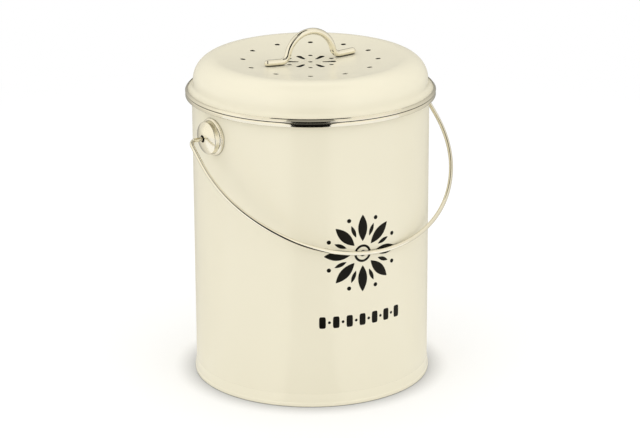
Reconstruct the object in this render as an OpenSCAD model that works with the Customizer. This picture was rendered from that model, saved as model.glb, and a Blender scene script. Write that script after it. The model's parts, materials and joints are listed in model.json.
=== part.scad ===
// Countertop compost caddy: a round painted bucket with a swinging bail and a loose vented lid.
// Units are millimetres. +Z is up and the origin is the centre of the base, on the table.
// The bail's axis runs along X, and the bail hangs towards -Y.

/* [Bucket] */
// Outside diameter of the wall
body_d = 180; // [160:1:200]
// Height of the mouth above the table
mouth_h = 222.8; // [200:0.2:250]
// Thickness of the wall's sheet
wall_t = 0.8; // [0.6:0.1:1.2]

/* [Base] */
// Height of the raised band round the base
band_h = 6; // [5:0.5:10]
// How far the band stands proud of the wall
band_t = 1.1; // [0.9:0.1:2]
// Height of the slope from the band's top back to the wall
band_slope = 3; // [1:0.5:6]
// Clear height under the bottom sheet
pan_lift = 4; // [2:0.5:8]
// Thickness of the bottom sheet
pan_t = 0.8; // [0.6:0.1:1.2]
// Rounding of the band's lower edge
band_edge_r = 0.6; // [0.3:0.1:0.8]

/* [Rim ring] */
// Height of the rolled ring
ring_h = 3.4; // [3:0.1:5]
// How far the ring reaches out past the wall
ring_reach = 5; // [4:0.1:7]
// Thickness of the ring's lip over the mouth's flange
ring_lip = 0.8; // [0.5:0.1:1]
// Width of the mouth's flange inside the ring
flange_w = 2.6; // [1.5:0.1:3]

/* [Lid] */
// Height from the underside of the hem to the crest of the lid
lid_h = 25.4; // [22:0.1:40]
// Thickness of the lid's sheet
lid_t = 0.6; // [0.5:0.1:1.2]
// How far the lid's wall stands inside the bucket's outside face
lid_inset = 1; // [0.5:0.1:3]
// Radius of the rounded shoulder
shoulder_r = 17; // [12:0.5:20]
// Depth of the dish in the lid's top
dish_depth = 4.5; // [2:0.1:8]
// Radius of the cove between the lid's wall and its edge
cove_r = 4.2; // [2:0.1:4.5]
// Thickness of the hem's steel
hem_t = 0.6; // [0.4:0.1:0.8]
// How far the lid's edge ends inside the hem's outer edge
hem_edge = 1.2; // [0.8:0.1:1.6]
// Gap between the hem and the rim ring it lies on
lid_gap = 0.3; // [0.1:0.05:0.5]
// How far the loose lid is turned on the bucket, in degrees
lid_turn = -6; // [-180:1:180]

/* [Lid collar] */
// How deep the collar reaches into the mouth
collar_depth = 10; // [5:0.5:20]
// Thickness of the collar's sheet
collar_t = 0.6; // [0.4:0.1:1]
// Gap between the collar and the bucket's wall
collar_gap = 1; // [0.4:0.1:2]

/* [Welds] */
// Gap that a weld leaves between a welded piece and the lid's sheet
weld_gap = 0.05; // [0.03:0.01:0.1]

/* [Vent holes] */
// Radius of the outer circle of holes
vent_ring_r = 51; // [40:0.5:56]
// Number of holes in the outer circle
vent_ring_n = 12; // [6:1:24]
// Diameter of each outer hole
vent_d = 4; // [2:0.1:5]
// Radius of the inner circle of holes
inner_ring_r = 18.3; // [14:0.1:22]
// Diameter of each inner hole and of the centre hole
inner_d = 3.4; // [2:0.1:4]
// Number of petal-shaped slots, and of inner holes between them
petal_n = 6; // [4:1:8]
// Distance of a petal's narrow end from the lid's axis
petal_in_r = 8.8; // [6:0.1:11]
// Distance of a petal's wide end from the lid's axis
petal_out_r = 19.4; // [16:0.1:24]
// Width of a petal at its wide end
petal_w = 4.3; // [2:0.1:5]
// Width of a petal at its narrow end
petal_tip_w = 2.5; // [1:0.1:3]

/* [Lid handle] */
// Diameter of the handle's rod
rod_d = 5; // [4:0.1:7]
// Radius of the arch, to the rod's centreline
arch_r = 20; // [16:0.5:26]
// Height of the arch's rod centreline over the dish's lowest point
arch_rise = 23.6; // [21:0.1:30]
// Radius of the bend from the arch to a foot
bend_r = 6; // [5:0.5:9]
// Length of a foot, from the bend to its rounded end
foot_l = 14; // [8:0.5:20]

/* [Ears] */
// Height of the pivot below the mouth
pivot_drop = 22; // [20:0.5:40]
// Diameter of an ear's flange
ear_d = 28.2; // [27:0.2:34]
// Thickness of an ear's flange and of its sheet
ear_t = 1; // [0.8:0.1:1.5]
// Diameter of an ear's raised cup
cup_d = 24.4; // [20:0.2:25]
// Height of the cup's side over the wall
cup_h = 5.6; // [4:0.1:8]
// Height of the rounded crown over the cup's side
crown_h = 3.8; // [2.5:0.1:5]
// Diameter of the wire's hole in the crown
ear_hole_d = 4.6; // [4:0.1:6]

/* [Bail] */
// Diameter of the wire
wire_d = 3.1; // [2.5:0.1:3.6]
// How far the bail's crown reaches past the wall's radius, measured from the pivot
bail_extra = 33; // [20:0.5:50]
// Gap between the ring's outer edge and a leg's inner side
leg_gap = 13.5; // [8:0.5:20]
// Straight length of a leg below the pivot
leg_l = 20; // [10:0.5:30]
// Half the angle that the bail's wide middle curve turns through
crown_angle = 59; // [50:1:64]
// Radius of the bend from a leg into its ear
corner_r = 4.5; // [3:0.1:6]
// Diameter of the upset end inside an ear
head_d = 6.4; // [6:0.1:8]
// Thickness of the upset end
head_t = 1.5; // [1:0.1:2]
// End play of the upset end under the ear's crown
head_play = 1.3; // [0.8:0.1:2]
// Gap between the hanging bail and the wall it leans on
rest_gap = 0.3; // [0.1:0.05:0.5]

/* [Charcoal filter] */
// Diameter of the filter pad
filter_d = 120; // [110:1:128]
// Thickness of the filter pad
filter_t = 8; // [5:0.5:12]
// Gap between the pad and the lowest point of the lid's underside
filter_gap = 0.1; // [0.05:0.05:0.5]
// Thickness of a clip's spring steel
clip_t = 0.8; // [0.5:0.1:1]
// Width of a clip along the pad's edge, in degrees
clip_angle = 12; // [8:1:20]
// How far a clip reaches under the pad
clip_grip = 6; // [3:0.5:10]
// Length of a clip's welded tab on the lid
clip_tab = 6; // [4:0.5:8]
// Gap between a clip and the pad's edge
clip_gap = 0.4; // [0.2:0.1:1]

/* [Hidden] */
$fn = 128;

cream = [0.93, 0.91, 0.82];
steel = [0.80, 0.79, 0.76];
charcoal = [0.13, 0.13, 0.13];

// A little extra length, so that a cutting tool runs clear of what it cuts
over = 1;
quarter = 90;
half_turn = 180;

// Bucket
body_r = body_d / 2;
inner_r = body_r - wall_t;
flange_z = mouth_h - ring_lip - wall_t;
rim_r = body_r + ring_reach;

// Lid: every sheet ends in the hem, which lies on the rim ring
lid_wall_r = body_r - lid_inset;
lid_z = mouth_h + lid_gap;
crest_z = lid_z + lid_h;
hem_h = 2 * hem_t + collar_t + lid_t;
lid_edge_z = lid_z + hem_h - hem_t;
lid_edge_r = rim_r - hem_edge;
hem_in_r = lid_wall_r + cove_r;
shoulder_c = lid_wall_r - shoulder_r;
// The dish is part of a sphere that touches the shoulder's curve from above
dish_r = (pow(shoulder_c, 2) - 2 * shoulder_r * dish_depth + pow(dish_depth, 2)) / (2 * dish_depth);
dish_low_z = crest_z - dish_depth;
dish_c = dish_low_z + dish_r;
dish_angle = asin(shoulder_c / (dish_r + shoulder_r));
dish_steps = 3;
shoulder_steps = 14;
cove_steps = 6;

// Collar
collar_r = inner_r - collar_gap;
collar_top_z = lid_z + hem_t;

// Lid handle: an arch between two bends that turn its legs flat onto the dish
foot_z = lid_top(sqrt(pow(arch_r + bend_r, 2) - pow(bend_r, 2))) + weld_gap + rod_d / 2;
arch_z = dish_low_z + arch_rise - arch_r;
lean = acos((bend_r + foot_z - arch_z) / (arch_r + bend_r));
foot_x = (arch_r + bend_r) * sin(lean);
foot_end_x = foot_x + foot_l - rod_d / 2;
rod_sides = 24;
arch_steps = 20;
bend_steps = 8;
foot_steps = 4;
end_steps = 4;
end_angle = 84;
petal_steps = 10;
roll_steps = 20;

// Ears
pivot_z = mouth_h - pivot_drop;
ear_sink = body_r - sqrt(pow(body_r, 2) - pow(ear_d / 2, 2)) + over;
crown_top = cup_h + crown_h;
crown_r = (pow(cup_d / 2, 2) + pow(crown_h, 2)) / (2 * crown_h);

// Bail: a wide middle curve, two shoulder curves and two straight legs, all tangent
bail_l = body_r + bail_extra;
leg_x = rim_r + leg_gap + wire_d / 2;
crown_sin = sin(crown_angle);
crown_cos = cos(crown_angle);
crown_det = crown_sin + crown_cos - 1;
bail_crown_r = (leg_x * crown_cos - (1 - crown_sin) * (bail_l - leg_l)) / crown_det;
bail_shoulder_r = (crown_sin * (bail_l - leg_l) - (1 - crown_cos) * leg_x) / crown_det;
bail_tilt = asin((body_r + wire_d / 2 + rest_gap) / bail_l);
head_x = body_r + crown_top - ear_t - head_play - head_t;
shoulder_x = leg_x - bail_shoulder_r;
corner_x = leg_x - corner_r;
wire_sides = 16;
bail_crown_steps = 26;
bail_shoulder_steps = 9;
corner_steps = 6;
// The bent wire starts as a taper inside the straight pin that turns in the ear
pin_taper_l = 1;
pin_taper = 0.6;
pin_short = 0.3;

// Filter
filter_top_z = dish_low_z - lid_t - filter_gap;
filter_low_z = filter_top_z - filter_t;
clip_r = filter_d / 2 + clip_gap;
clip_tab_r = clip_r + clip_t + clip_tab;
clip_first = 45;
clip_step = 90;

// Points along an arc, from angle a0 to angle a1
function arc(cx, cz, r, a0, a1, steps) =
    [for (i = [0 : steps]) let (a = a0 + (a1 - a0) * i / steps) [cx + r * cos(a), cz + r * sin(a)]];

// The lid's dish and shoulder in section, on the sheet's face that lies `depth` inside the outer one
function crown_line(depth) = concat(
    arc(0, dish_c, dish_r + depth, -quarter, -quarter + dish_angle, dish_steps),
    arc(shoulder_c, crest_z - shoulder_r, shoulder_r - depth, quarter + dish_angle, 0, shoulder_steps));

// The whole section of one face, on through the cove to the lid's edge
function lid_line(depth) = concat(
    crown_line(depth),
    arc(lid_wall_r + cove_r, lid_edge_z + cove_r, cove_r + depth, half_turn, half_turn + quarter, cove_steps),
    [[lid_edge_r, lid_edge_z - depth]]);

// Height of the lid's outer face and of its underside at radius r
function lid_top(r) = lookup(r, crown_line(0));
function lid_under(r) = lookup(r, crown_line(lid_t));

function reversed(points) = [for (i = [len(points) - 1 : -1 : 0]) points[i]];

function tail(points) = [for (i = [1 : len(points) - 1]) points[i]];
function sized(points, r) = [for (p = points) [p[0], p[1], r]];
function mirrored(path) = [for (p = reversed(path)) [-p[0], p[1], p[2]]];

// Direction of a path in XZ at point i, from its neighbours
function heading(path, i) =
    let (a = path[max(i - 1, 0)], b = path[min(i + 1, len(path) - 1)], d = [b[0] - a[0], b[1] - a[1]])
    d / norm(d);

// A round rod along a path in XZ, whose points are [x, z, radius]
module rod(path, sides) {
    rings = len(path);
    points = [for (i = [0 : rings - 1], k = [0 : sides - 1])
        let (p = path[i], t = heading(path, i), a = 360 * k / sides)
        [p[0] - t[1] * p[2] * cos(a), p[2] * sin(a), p[1] + t[0] * p[2] * cos(a)]];
    walls = [for (i = [0 : rings - 2], k = [0 : sides - 1])
        let (a = i * sides, j = (k + 1) % sides)
        each [[a + k, a + j, a + sides + j], [a + k, a + sides + j, a + sides + k]]];
    first = [for (k = [sides - 1 : -1 : 0]) k];
    last = [for (k = [0 : sides - 1]) (rings - 1) * sides + k];
    polyhedron(points = points, faces = concat([first], walls, [last]));
}

module turned(angle = 360) {
    rotate_extrude(angle = angle, $fn = 180) children();
}

module wall_section() {
    polygon([[inner_r, pan_t],
             [body_r, pan_t],
             [body_r, flange_z],
             [body_r + flange_w, flange_z],
             [body_r + flange_w, flange_z + wall_t],
             [inner_r, flange_z + wall_t]]);
}

// A rolled edge: a flat strip with a half-round outer side
module rolled_section(in_r, out_r, low_z, h) {
    polygon(concat(
        [[in_r, low_z]],
        arc(out_r - h / 2, low_z + h / 2, h / 2, -quarter, quarter, roll_steps),
        [[in_r, low_z + h]]));
}

module lid_section() {
    polygon(concat(lid_line(0), reversed(lid_line(lid_t))));
}

module collar_section() {
    polygon([[collar_r - collar_t, mouth_h - collar_depth],
             [collar_r, mouth_h - collar_depth],
             [collar_r, collar_top_z],
             [lid_edge_r, collar_top_z],
             [lid_edge_r, collar_top_z + collar_t],
             [collar_r - collar_t, collar_top_z + collar_t]]);
}

module bucket_wall() {
    color(cream) turned() wall_section();
}

// The bottom sheet, its skirt inside the wall, and the fold that comes up outside as the band
module base_pan() {
    band_r = body_r + band_t;
    skirt_r = inner_r - pan_t;
    color(cream) turned() polygon(concat(
        [[0, pan_lift],
         [skirt_r, pan_lift],
         [skirt_r, 0]],
        arc(band_r - band_edge_r, band_edge_r, band_edge_r, -quarter, 0, cove_steps),
        [[band_r, band_h],
         [body_r, band_h + band_slope],
         [body_r, pan_t],
         [inner_r, pan_t],
         [inner_r, pan_lift + pan_t],
         [0, pan_lift + pan_t]]));
}

module rim_ring() {
    color(steel) turned() difference() {
        rolled_section(inner_r, rim_r, mouth_h - ring_h, ring_h);
        wall_section();
    }
}

// One ear, with its axis on X and its flange shaped to the wall
module ear() {
    difference() {
        translate([body_r, 0, pivot_z]) rotate([0, quarter, 0]) difference() {
            union() {
                translate([0, 0, -ear_sink]) cylinder(d = ear_d, h = ear_sink + ear_t);
                cup(cup_d / 2, crown_r);
            }
            cup(cup_d / 2 - ear_t, crown_r - ear_t);
            cylinder(d = ear_hole_d, h = crown_top + over);
        }
        cylinder(r = body_r, h = mouth_h);
    }
}

// A round cup under a crown that is part of a sphere
module cup(r, sphere_r) {
    intersection() {
        translate([0, 0, -ear_sink]) cylinder(r = r, h = ear_sink + crown_top + over);
        translate([0, 0, crown_top - crown_r]) sphere(r = sphere_r);
    }
}

module ear_right() {
    color(steel) ear();
}

module ear_left() {
    color(steel) mirror([1, 0, 0]) ear();
}

// The right half of the bail's bent wire, hanging straight down from its pivot on X
function half_bail() = concat(
    sized(arc(0, bail_crown_r - bail_l, bail_crown_r, -quarter, crown_angle - quarter, bail_crown_steps / 2),
          wire_d / 2),
    sized(tail(arc(shoulder_x, -leg_l, bail_shoulder_r, crown_angle - quarter, 0, bail_shoulder_steps)),
          wire_d / 2),
    sized(arc(corner_x, -corner_r, corner_r, 0, quarter, corner_steps), wire_d / 2),
    [[corner_x - pin_taper_l, 0, pin_taper * wire_d / 2]]);

// The straight end of the wire that turns in an ear, with its upset head
module pin() {
    translate([head_x, 0, 0]) rotate([0, quarter, 0]) {
        cylinder(d = wire_d, h = corner_x - pin_short - head_x);
        cylinder(d = head_d, h = head_t);
    }
}

module bail_wire() {
    color(steel) translate([0, 0, pivot_z]) rotate([-bail_tilt, 0, 0]) {
        rod(concat(mirrored(half_bail()), tail(half_bail())), wire_sides);
        pin();
        mirror([1, 0, 0]) pin();
    }
}

// A slot with a wide outer end and a narrow inner end, both round, along X
module petal() {
    round_r = petal_w / 2;
    tip_r = min(petal_tip_w, petal_w) / 2;
    centre = petal_out_r - round_r;
    tip = petal_in_r + tip_r;
    side = acos((round_r - tip_r) / (centre - tip));
    polygon(concat(
        arc(tip, 0, tip_r, half_turn - side, half_turn + side, petal_steps),
        arc(centre, 0, round_r, side - half_turn, half_turn - side, petal_steps)));
}

module vent_pattern() {
    for (i = [0 : vent_ring_n - 1])
        rotate([0, 0, 360 * i / vent_ring_n]) translate([vent_ring_r, 0]) circle(d = vent_d, $fn = 32);
    for (i = [0 : petal_n - 1]) {
        rotate([0, 0, 360 * i / petal_n]) translate([inner_ring_r, 0]) circle(d = inner_d, $fn = 32);
        rotate([0, 0, 360 * (i + 0.5) / petal_n]) petal();
    }
    circle(d = inner_d, $fn = 32);
}

module lid_shell() {
    color(cream) rotate([0, 0, lid_turn]) difference() {
        rotate([0, 0, half_turn / vent_ring_n]) turned() lid_section();
        translate([0, 0, filter_top_z]) linear_extrude(height = lid_h) vent_pattern();
    }
}

module lid_hem() {
    color(steel) turned() difference() {
        rolled_section(hem_in_r, rim_r, lid_z, hem_h);
        lid_section();
        collar_section();
    }
}

module lid_collar() {
    color(steel) turned() collar_section();
}

// The right half of the handle's rod: arch, bend, and a foot that follows the dish to its rounded end
function half_handle() = concat(
    sized(arc(0, arch_z, arch_r, quarter, quarter - lean, arch_steps / 2), rod_d / 2),
    sized(tail(arc(foot_x, foot_z + bend_r, bend_r, -quarter - lean, -quarter, bend_steps)), rod_d / 2),
    sized([for (i = [1 : foot_steps]) let (x = foot_x + (foot_end_x - foot_x) * i / foot_steps) [x, rod_z(x)]],
          rod_d / 2),
    [for (i = [1 : end_steps]) let (a = end_angle * i / end_steps, x = foot_end_x + sin(a) * rod_d / 2)
        [x, rod_z(x), cos(a) * rod_d / 2]]);

// Height of a foot's centreline over the dish
function rod_z(x) = lid_top(x) + weld_gap + rod_d / 2;

module lid_handle() {
    color(steel) rotate([0, 0, lid_turn])
        rod(concat(mirrored(half_handle()), tail(half_handle())), rod_sides);
}

module charcoal_filter() {
    color(charcoal) translate([0, 0, filter_low_z]) cylinder(d = filter_d, h = filter_t);
}

// A spring clip: a tab on the lid's underside, a leg beside the pad and a lip under it
module filter_clip(i) {
    lip_z = filter_low_z - weld_gap;
    leg_out = clip_r + clip_t;
    color(steel) rotate([0, 0, lid_turn + clip_first + i * clip_step - clip_angle / 2])
        turned(clip_angle) polygon([
            [filter_d / 2 - clip_grip, lip_z],
            [clip_r, lip_z],
            [clip_r, lid_under(clip_r) - weld_gap],
            [clip_tab_r, lid_under(clip_tab_r) - weld_gap],
            [clip_tab_r, lid_under(clip_tab_r) - weld_gap - clip_t],
            [leg_out, lid_under(leg_out) - weld_gap - clip_t],
            [leg_out, lip_z - clip_t],
            [filter_d / 2 - clip_grip, lip_z - clip_t]]);
}

bucket_wall();
base_pan();
rim_ring();
ear_left();
ear_right();
bail_wire();
lid_shell();
lid_hem();
lid_collar();
lid_handle();
charcoal_filter();
filter_clip(0);  // filter_clip_1
filter_clip(1);  // filter_clip_2
filter_clip(2);  // filter_clip_3
filter_clip(3);  // filter_clip_4
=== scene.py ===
"""Looks of a countertop compost caddy: painted bucket, steel rim, wire bail and vented lid, in metres."""

import json

import bmesh
import bpy
import numpy as np
from mathutils import Matrix, Vector


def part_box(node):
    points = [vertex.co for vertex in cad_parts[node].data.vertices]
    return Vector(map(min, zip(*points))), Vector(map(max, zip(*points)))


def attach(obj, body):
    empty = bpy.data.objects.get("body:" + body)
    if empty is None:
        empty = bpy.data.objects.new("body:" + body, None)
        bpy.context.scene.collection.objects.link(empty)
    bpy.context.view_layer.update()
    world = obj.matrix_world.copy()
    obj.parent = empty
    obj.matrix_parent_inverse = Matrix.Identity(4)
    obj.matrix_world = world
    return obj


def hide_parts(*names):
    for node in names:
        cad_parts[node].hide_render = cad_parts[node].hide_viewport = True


bl_info = {
    "name": "Compost Caddy",
    "version": (1, 0, 0),
    "blender": (4, 5, 0),
    "location": "3D View > Sidebar > Caddy",
    "description": "Builds a painted steel compost caddy over its construction frame",
    "category": "Add Mesh",
}

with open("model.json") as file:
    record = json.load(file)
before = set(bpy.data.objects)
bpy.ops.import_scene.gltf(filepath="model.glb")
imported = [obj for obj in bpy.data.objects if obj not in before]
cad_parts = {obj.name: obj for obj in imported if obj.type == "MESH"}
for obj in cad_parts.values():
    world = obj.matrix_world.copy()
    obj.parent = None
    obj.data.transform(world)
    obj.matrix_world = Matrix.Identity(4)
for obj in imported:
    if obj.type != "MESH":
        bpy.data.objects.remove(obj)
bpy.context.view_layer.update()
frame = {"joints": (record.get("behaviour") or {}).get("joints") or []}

MM = 0.001
# Turns in radians
FULL = 2 * np.pi
HALF = np.pi
QUARTER = np.pi / 2

# Places that the frame settles
RIM_LOW, RIM_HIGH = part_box("rim_ring")
LID_LOW, LID_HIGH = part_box("lid_shell")
HEM_LOW, HEM_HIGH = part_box("lid_hem")
COLLAR_LOW, COLLAR_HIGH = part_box("lid_collar")
PAD_LOW, PAD_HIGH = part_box("charcoal_filter")
BAIL_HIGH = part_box("bail_wire")[1]
HANDLE_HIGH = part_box("lid_handle")[1]
PIVOT = Vector(next(j["pos_m"] for j in frame["joints"] if j["name"] == "bail_swing"))

# How finely the surfaces are cut
ROUND_STEPS = 256
WIRE_SIDES = 32
CORNER_STEPS = 6
SHARP_ANGLE = np.radians(38)

# What keeps two faces apart where one sheet lies on another
SHEET_GAP = 0.02 * MM


def length(name, description, value):
    """A size property in metres."""
    return bpy.props.FloatProperty(
        name=name, description=description, default=value, min=0.0, precision=5, unit="LENGTH")


def angle(name, description, degrees):
    """An angle property, whose default is given in degrees."""
    return bpy.props.FloatProperty(
        name=name, description=description, default=float(np.radians(degrees)), unit="ROTATION")


def colour(name, description, value):
    """A colour property in linear light."""
    return bpy.props.FloatVectorProperty(
        name=name, description=description, default=value, size=3, min=0.0, max=1.0, subtype="COLOR")


class CaddySizes(bpy.types.PropertyGroup):
    """Sizes of the caddy's pieces"""

    body_r: length("Body radius", "Outside radius of the bucket's wall", RIM_HIGH.x - 5 * MM)
    sheet_t: length("Sheet thickness", "Thickness of the painted sheet", 0.8 * MM)
    flange_w: length("Mouth flange", "Width of the flange inside the rim ring", 2.6 * MM)
    band_t: length("Band depth", "How far the base band stands proud of the wall", 1.1 * MM)
    band_h: length("Band height", "Height at which the band's flare ends in its lip", 3.6 * MM)
    band_lip_h: length("Lip height", "Height at which the lip reaches the band's full depth", 2.3 * MM)
    band_lip: length("Lip depth", "How far the lip stands proud of the flare", 0.35 * MM)
    band_top: length("Band top", "Height at which the band's flare ends on the wall", 10.2 * MM)
    band_edge_r: length("Band edge radius", "Rounding of the band's lower edge", 0.6 * MM)
    pan_lift: length("Pan lift", "Clear height under the bottom sheet", 4 * MM)
    ring_lip: length("Ring lip", "Thickness of the rim ring over the mouth's flange", 0.8 * MM)
    ring_toe_r: length("Ring toe radius", "Rounding of the ring's edge on the wall", 0.3 * MM)
    ring_low_r: length("Ring lower radius", "Rounding of the ring's lower outer edge", 0.8 * MM)
    ring_top_r: length("Ring upper radius", "Rounding of the ring's upper outer edge", 1.1 * MM)
    ring_lean: length("Ring lean", "How much the ring draws in from its foot to its top", 0.3 * MM)

    lid_inset: length("Lid inset", "How far the lid's wall stands inside the bucket's", 1 * MM)
    shoulder_r: length("Shoulder radius", "Radius of the lid's rounded shoulder", 17 * MM)
    dish_depth: length("Dish depth", "Depth of the shallow dish in the lid's top", 4.5 * MM)
    cove_r: length("Cove radius", "Radius of the cove above the lid's edge", 4.2 * MM)
    hem_t: length("Hem thickness", "Thickness of the steel hem round the lid", 0.6 * MM)
    hem_edge: length("Hem edge", "How far the lid's edge ends inside the hem's outside", 1.2 * MM)
    hem_side: length("Hem side", "Height of the hem's upright side", 0.72 * MM)
    hem_slope: length("Hem slope", "How far the hem's slope goes in from its side", 0.96 * MM)
    hem_step: length("Hem step", "How far the hem's slope ends under its top", 0.48 * MM)
    hem_top: length("Hem top", "How far the hem's top begins inside its outside", 1.65 * MM)
    hem_lip_low_r: length("Lower lip radius", "Rounding of the hem's lower edges on the lid", 0.2 * MM)
    hem_lip_r: length("Lip radius", "Rounding of the hem's upper edges on the lid", 0.15 * MM)
    lid_turn: angle("Lid turn", "How far the loose lid is turned on the bucket", -6)
    collar_t: length("Collar thickness", "Thickness of the collar's sheet", 0.6 * MM)
    collar_gap: length("Collar gap", "Gap between the collar and the bucket's wall", 1 * MM)

    vent_ring_r: length("Vent circle", "Radius of the outer circle of vent holes", 51 * MM)
    vent_r: length("Vent radius", "Radius of an outer vent hole", 2 * MM)
    inner_ring_r: length("Inner circle", "Radius of the inner circle of holes", 18.3 * MM)
    inner_r: length("Inner hole radius", "Radius of an inner hole", 1.7 * MM)
    petal_in: length("Petal start", "Distance of a petal's narrow end from the axis", 8.8 * MM)
    petal_out: length("Petal end", "Distance of a petal's wide end from the axis", 19.4 * MM)
    petal_w: length("Petal width", "Width of a petal at its wide end", 4.3 * MM)
    petal_tip_w: length("Petal tip", "Width of a petal at its narrow end", 2.5 * MM)
    vent_edge: length("Vent edge", "Rounding that the paint gives the edge of a hole", 0.15 * MM)
    vent_burr: length("Vent burr", "How far a punched hole widens to the sheet's underside", 1 * MM)
    lid_t: length("Lid sheet", "Thickness of the lid's sheet", 0.6 * MM)

    rod_r: length("Rod radius", "Radius of the lid handle's rod", 2.5 * MM)
    arch_r: length("Arch radius", "Radius of the handle's arch, to the rod's centre", 20 * MM)
    bend_r: length("Bend radius", "Radius of the bend from the arch to a foot", 6 * MM)
    foot_l: length("Foot length", "Length of a foot, from its bend to its rounded end", 14 * MM)
    foot_gap: length("Foot gap", "Gap that the weld leaves under a foot", 0.05 * MM)

    ear_r: length("Ear radius", "Radius of an ear's flange", 14.1 * MM)
    ear_t: length("Ear sheet", "Thickness of an ear's pressed sheet", 1 * MM)
    cup_r: length("Cup radius", "Radius of an ear's raised cup", 12.2 * MM)
    cup_h: length("Cup height", "Height of the cup's side over the wall", 5.6 * MM)
    crown_h: length("Crown height", "Height of the rounded crown over the cup's side", 3.8 * MM)
    ear_hole_r: length("Ear hole", "Radius of the wire's hole in an ear", 2.7 * MM)
    ear_sink: length("Ear sink", "How far an ear's edge goes into the wall's paint", 0.05 * MM)

    wire_r: length("Wire radius", "Radius of the bail's wire", 1.55 * MM)
    bail_l: length("Bail length", "Distance from the pivot to the middle of the bail", 123 * MM)
    leg_l: length("Leg length", "Straight length of a leg below the pivot", 20 * MM)
    crown_angle: angle("Bail curve", "Half the angle of the bail's wide middle curve", 59)
    corner_r: length("Corner radius", "Radius of the bend from a leg into its ear", 4.5 * MM)
    head_r: length("Head radius", "Radius of the wire's upset end", 3.2 * MM)
    head_t: length("Head thickness", "Thickness of the wire's upset end", 1.5 * MM)
    head_step: length("Head step", "Length over which the wire widens to its upset end", 0.1 * MM)
    head_play: length("Head play", "End play of the upset end under the ear's crown", 1.3 * MM)
    rest_gap: length("Rest gap", "Gap between the hanging bail and the wall", 0.3 * MM)

    clip_t: length("Clip thickness", "Thickness of a clip's spring steel", 0.8 * MM)
    clip_angle: angle("Clip width", "Width of a clip along the pad's edge", 12)
    clip_grip: length("Clip grip", "How far a clip reaches in under the pad", 6 * MM)
    clip_tab: length("Clip tab", "Length of a clip's tab on the lid", 6 * MM)
    clip_play: length("Clip play", "Gap between a clip and the pad's edge", 0.4 * MM)
    clip_gap: length("Clip gap", "Gap that the weld leaves over a clip's tab", 0.06 * MM)
    pad_edge_r: length("Pad edge", "Rounding of the pad's edge", 2 * MM)
    pad_waves: length("Pad waves", "Height of the slow waves in the pad's faces", 0.5 * MM)

    ink_t: length("Ink thickness", "Height of the print over the paint", 0.05 * MM)
    print_angle: angle("Print direction", "Direction of the print's middle, seen from above", -101)
    rosette_z: length("Rosette height", "Height of the rosette's middle", 119 * MM)
    row_z: length("Row height", "Height of the row of bars under the rosette", 67 * MM)


class CaddyColours(bpy.types.PropertyGroup):
    """Colours of the caddy's finishes"""

    cream: colour("Cream", "Baked paint on the bucket and lid", (0.850, 0.797, 0.620))
    steel: colour("Steel", "Polished steel", (0.880, 0.834, 0.700))
    plain_steel: colour("Plain steel", "Rolled steel of the collar and clips", (0.560, 0.540, 0.480))
    charcoal: colour("Charcoal", "Fibre of the filter pad", (0.009, 0.009, 0.0095))
    ink: colour("Ink", "Olive black of the print", (0.006, 0.005, 0.002))


# ---------------------------------------------------------------- outlines and surfaces


def arc(x, z, radius, start, stop, steps):
    """Points of an arc: (x + radius cos a, z + radius sin a), with a going evenly from start to stop."""
    a = np.linspace(start, stop, steps + 1)
    return np.stack([x + radius * np.cos(a), z + radius * np.sin(a)], axis=1)


def rounded(*corners):
    """A closed outline through corners (x, z, radius), each cut by the arc that touches its two sides.

    The arc's centre lies on the bisector of the corner, at radius / sin(half the corner's angle).
    """
    pieces = []
    for i, (x, z, radius) in enumerate(corners):
        here = np.array([x, z])
        if not radius:
            pieces.append(here[None])
            continue
        back = np.array(corners[i - 1][:2]) - here
        ahead = np.array(corners[(i + 1) % len(corners)][:2]) - here
        back, ahead = back / np.linalg.norm(back), ahead / np.linalg.norm(ahead)
        half = np.arccos(np.clip(back @ ahead, -1, 1)) / 2
        middle = (back + ahead) / np.linalg.norm(back + ahead)
        centre = here + middle * radius / np.sin(half)
        first = here + back * radius / np.tan(half) - centre
        last = here + ahead * radius / np.tan(half) - centre
        start = np.arctan2(first[1], first[0])
        turn = (np.arctan2(last[1], last[0]) - start + HALF) % FULL - HALF
        pieces.append(arc(*centre, radius, start, start + turn, CORNER_STEPS))
    return np.vstack(pieces)


def make_mesh(name, grids):
    """An object of one or more grids of points, each (points, wrap rows, wrap columns).

    Point (i, j) of a grid joins (i + 1, j) and (i, j + 1). A wrapped direction joins its last row to its
    first. Points that fall together, as at a pole, become one, and each shell's faces are turned outwards.
    """
    points, quads, start = [], [], 0
    for grid, wrap_rows, wrap_columns in grids:
        index = start + np.arange(grid.shape[0] * grid.shape[1]).reshape(grid.shape[:2])
        if wrap_rows:
            index = np.vstack([index, index[:1]])
        if wrap_columns:
            index = np.hstack([index, index[:, :1]])
        square = [index[:-1, :-1], index[1:, :-1], index[1:, 1:], index[:-1, 1:]]
        quads.append(np.stack(square, axis=-1).reshape(-1, 4))
        points.append(grid.reshape(-1, 3))
        start += len(points[-1])
    mesh = bpy.data.meshes.new(name)
    mesh.from_pydata(np.vstack(points), [], np.vstack(quads))
    tidy_mesh(mesh)
    made = bpy.data.objects.new(name, mesh)
    bpy.context.scene.collection.objects.link(made)
    return made


def tidy_mesh(mesh):
    """Merges points that fall together, turns the faces outwards and smooths all but sharp edges."""
    work = bmesh.new()
    work.from_mesh(mesh)
    bmesh.ops.remove_doubles(work, verts=work.verts, dist=1e-7)
    bmesh.ops.recalc_face_normals(work, faces=work.faces)
    work.to_mesh(mesh)
    work.free()
    mesh.shade_smooth()
    mesh.set_sharp_from_angle(angle=SHARP_ANGLE)


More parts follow.
